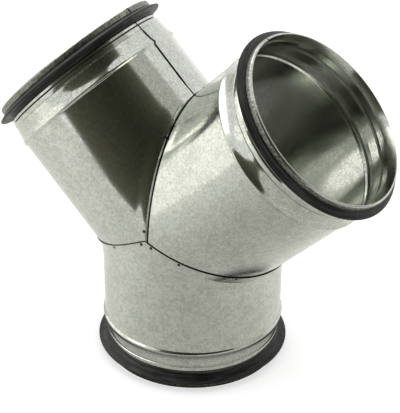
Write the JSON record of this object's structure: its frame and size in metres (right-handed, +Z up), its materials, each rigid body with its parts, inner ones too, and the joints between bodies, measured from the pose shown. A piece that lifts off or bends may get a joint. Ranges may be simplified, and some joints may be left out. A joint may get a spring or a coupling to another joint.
{
  "type": "duct y branch",
  "caption": "Galvanised sheet-steel duct wye: an upright run splits into mitred branches at right angles, each spigot with a rolled rim, rubber lip gasket and stop bead.",
  "frame": {"origin": "centre of the run's mouth, in the plane that its rim stands on", "axes": "+Z up along the run's axis, +X towards the right branch, branches in the XZ plane"},
  "size_m": [0.276, 0.134, 0.241],
  "materials": {
    "galvanised_sheet": "bright zinc coat with a fine mottled grain, semi-gloss",
    "gasket_rubber": "black satin"
  },
  "bodies": {
    "root": {"run_barrel": "galvanised_sheet", "left_branch": "galvanised_sheet", "right_branch": "galvanised_sheet", "run_gasket": "gasket_rubber", "left_gasket": "gasket_rubber", "right_gasket": "gasket_rubber"}
  },
  "joints": []
}
